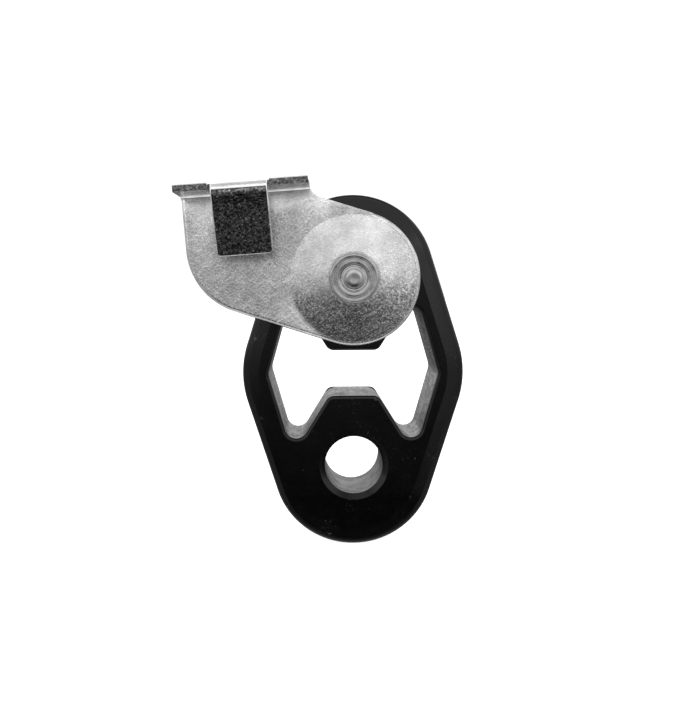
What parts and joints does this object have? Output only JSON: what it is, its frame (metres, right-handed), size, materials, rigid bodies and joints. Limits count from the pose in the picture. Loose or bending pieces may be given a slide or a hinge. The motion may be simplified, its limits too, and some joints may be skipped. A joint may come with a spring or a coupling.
{
  "type": "cam cleat",
  "caption": "Link cleat: a clad metal link with a bolt eye and a rope window, and a stamped lever with a thumb flange and hook tab that swings on a rivet.",
  "frame": {"origin": "centre of the lower eye, halfway through the link's thickness", "axes": "+Z from the lower eye to the pivot, +Y along the eye away from the lever, +X to the right seen from the lever side"},
  "size_m": [0.0614, 0.0322, 0.0805],
  "materials": {
    "core_metal": "cast or forged light alloy, satin, with faint vertical marks from tooling",
    "shell_black": "black moulded plastic, satin gloss, lightly scuffed",
    "lever_steel": "zinc-plated stamped steel, mottled and finely scratched",
    "pivot_steel": "turned steel with concentric tool marks",
    "spring_steel": "oiled spring steel",
    "bush_bronze": "sintered bronze",
    "washer_nylon": "dark nylon, matt"
  },
  "bodies": {
    "link": {"core_link": "core_metal", "front_shell": "shell_black", "rear_shell": "shell_black", "pivot_rivet": "pivot_steel", "pivot_bush": "bush_bronze", "thrust_washer": "washer_nylon", "disc_spring": "spring_steel", "backing_washer": "pivot_steel"},
    "lever": {"lever": "lever_steel"}
  },
  "joints": [
    {"name": "lever_pivot", "type": "hinge", "parent": "link", "child": "lever", "pos_m": [0, 0, 0.0416], "axis": [0, 1, 0], "continuous": true}
  ]
}
